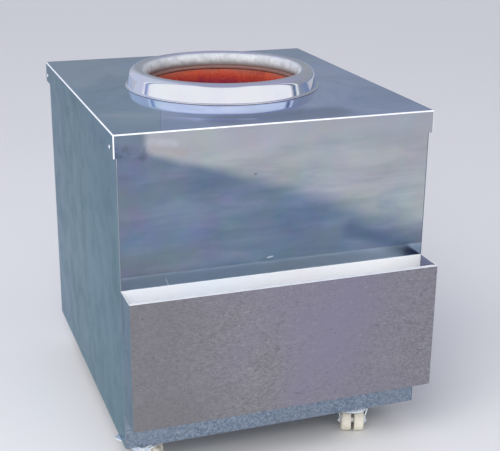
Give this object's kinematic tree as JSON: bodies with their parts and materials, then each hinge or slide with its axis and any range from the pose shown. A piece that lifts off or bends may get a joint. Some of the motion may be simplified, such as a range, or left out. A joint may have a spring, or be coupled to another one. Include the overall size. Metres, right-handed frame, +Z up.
{
  "type": "clay tandoor oven",
  "caption": "Clay tandoor oven: an insulated clay pot in a square steel cabinet on casters, with a rolled mouth ring, an open skewer box across the front and a sliding air damper.",
  "frame": {"origin": "on the floor, under the middle of the whole footprint, front box included", "axes": "+Z up, front with the open box facing -Y, damper on the +X side"},
  "size_m": [0.8514, 1.013, 0.9622],
  "materials": {
    "cabinet_steel": "mirror-polished stainless sheet, faintly blue-grey",
    "ring_steel": "mirror-polished stainless, near chrome",
    "box_steel": "satin stainless sheet, slightly mottled",
    "galvanised": "dull galvanised sheet, blue-grey",
    "frame_steel": "dark grey primer",
    "zinc_plate": "bright zinc plating with a blue tint",
    "screw_steel": "bright steel",
    "clay": "unglazed fired clay, red-brown, rough",
    "fire_brick": "porous buff firebrick",
    "mineral_wool": "loose yellow-brown mineral wool",
    "seal_rope": "woven white heat-proof rope",
    "cast_iron": "rough black cast iron",
    "nylon": "cream nylon, satin",
    "knob": "black phenolic"
  },
  "bodies": {
    "cabinet": {"body_frame": "frame_steel", "base_plate": "galvanised", "left_panel": "cabinet_steel", "right_panel": "cabinet_steel", "back_panel": "cabinet_steel", "front_panel": "cabinet_steel", "lower_front_panel": "galvanised", "top_cover": "cabinet_steel", "cover_screw_front_left": "screw_steel", "cover_screw_front_right": "screw_steel", "cover_screw_rear_left": "screw_steel", "cover_screw_rear_right": "screw_steel", "front_box": "box_steel", "box_screw_1": "screw_steel", "box_screw_2": "screw_steel", "box_screw_3": "screw_steel", "box_screw_4": "screw_steel", "clay_pot": "clay", "rim_seal": "seal_rope", "hearth_slab": "fire_brick", "insulation_fill": "mineral_wool", "mouth_ring": "ring_steel", "charcoal_grate": "cast_iron", "air_duct": "galvanised", "damper_guide_upper": "zinc_plate", "damper_guide_lower": "zinc_plate", "front_left_caster_plate": "zinc_plate", "front_left_caster_kingpin": "screw_steel", "front_left_caster_bearing": "screw_steel", "front_right_caster_plate": "zinc_plate", "front_right_caster_kingpin": "screw_steel", "front_right_caster_bearing": "screw_steel", "rear_left_caster_plate": "zinc_plate", "rear_left_caster_kingpin": "screw_steel", "rear_left_caster_bearing": "screw_steel", "rear_right_caster_plate": "zinc_plate", "rear_right_caster_kingpin": "screw_steel", "rear_right_caster_bearing": "screw_steel"},
    "damper": {"damper_door": "zinc_plate", "damper_knob": "knob"},
    "front_left_swivel": {"front_left_caster_fork": "zinc_plate", "front_left_caster_axle": "screw_steel"},
    "front_left_left_wheel": {"front_left_caster_left_wheel": "nylon"},
    "front_left_right_wheel": {"front_left_caster_right_wheel": "nylon"},
    "front_right_swivel": {"front_right_caster_fork": "zinc_plate", "front_right_caster_axle": "screw_steel"},
    "front_right_left_wheel": {"front_right_caster_left_wheel": "nylon"},
    "front_right_right_wheel": {"front_right_caster_right_wheel": "nylon"},
    "rear_left_swivel": {"rear_left_caster_fork": "zinc_plate", "rear_left_caster_axle": "screw_steel"},
    "rear_left_left_wheel": {"rear_left_caster_left_wheel": "nylon"},
    "rear_left_right_wheel": {"rear_left_caster_right_wheel": "nylon"},
    "rear_right_swivel": {"rear_right_caster_fork": "zinc_plate", "rear_right_caster_axle": "screw_steel"},
    "rear_right_left_wheel": {"rear_right_caster_left_wheel": "nylon"},
    "rear_right_right_wheel": {"rear_right_caster_right_wheel": "nylon"}
  },
  "joints": [
    {"name": "damper_slide", "type": "slide", "parent": "cabinet", "child": "damper", "axis": [0, 1, 0], "range_m": [0, 0.165]},
    {"name": "front_left_swivel_turn", "type": "hinge", "parent": "cabinet", "child": "front_left_swivel", "pos_m": [-0.35215, -0.3525, 0.06], "axis": [0, 0, 1], "continuous": true},
    {"name": "front_left_left_wheel_spin", "type": "hinge", "parent": "front_left_swivel", "child": "front_left_left_wheel", "pos_m": [-0.33336, -0.35934, 0.03062], "axis": [0.342, 0.9397, 0], "continuous": true},
    {"name": "front_left_right_wheel_spin", "type": "hinge", "parent": "front_left_swivel", "child": "front_left_right_wheel", "pos_m": [-0.33336, -0.35934, 0.03062], "axis": [0.342, 0.9397, 0], "continuous": true},
    {"name": "front_right_swivel_turn", "type": "hinge", "parent": "cabinet", "child": "front_right_swivel", "pos_m": [0.24785, -0.3525, 0.06], "axis": [0, 0, 1], "continuous": true},
    {"name": "front_right_left_wheel_spin", "type": "hinge", "parent": "front_right_swivel", "child": "front_right_left_wheel", "pos_m": [0.24101, -0.37129, 0.03062], "axis": [0.9397, -0.342, 0], "continuous": true},
    {"name": "front_right_right_wheel_spin", "type": "hinge", "parent": "front_right_swivel", "child": "front_right_right_wheel", "pos_m": [0.24101, -0.37129, 0.03062], "axis": [0.9397, -0.342, 0], "continuous": true},
    {"name": "rear_left_swivel_turn", "type": "hinge", "parent": "cabinet", "child": "rear_left_swivel", "pos_m": [-0.35215, 0.4355, 0.06], "axis": [0, 0, 1], "continuous": true},
    {"name": "rear_left_left_wheel_spin", "type": "hinge", "parent": "rear_left_swivel", "child": "rear_left_left_wheel", "pos_m": [-0.33402, 0.44395, 0.03062], "axis": [-0.4226, 0.9063, 0], "continuous": true},
    {"name": "rear_left_right_wheel_spin", "type": "hinge", "parent": "rear_left_swivel", "child": "rear_left_right_wheel", "pos_m": [-0.33402, 0.44395, 0.03062], "axis": [-0.4226, 0.9063, 0], "continuous": true},
    {"name": "rear_right_swivel_turn", "type": "hinge", "parent": "cabinet", "child": "rear_right_swivel", "pos_m": [0.24785, 0.4355, 0.06], "axis": [0, 0, 1], "continuous": true},
    {"name": "rear_right_left_wheel_spin", "type": "hinge", "parent": "rear_right_swivel", "child": "rear_right_left_wheel", "pos_m": [0.23053, 0.4455, 0.03062], "axis": [-0.5, -0.866, 0], "continuous": true},
    {"name": "rear_right_right_wheel_spin", "type": "hinge", "parent": "rear_right_swivel", "child": "rear_right_right_wheel", "pos_m": [0.23053, 0.4455, 0.03062], "axis": [-0.5, -0.866, 0], "continuous": true}
  ]
}
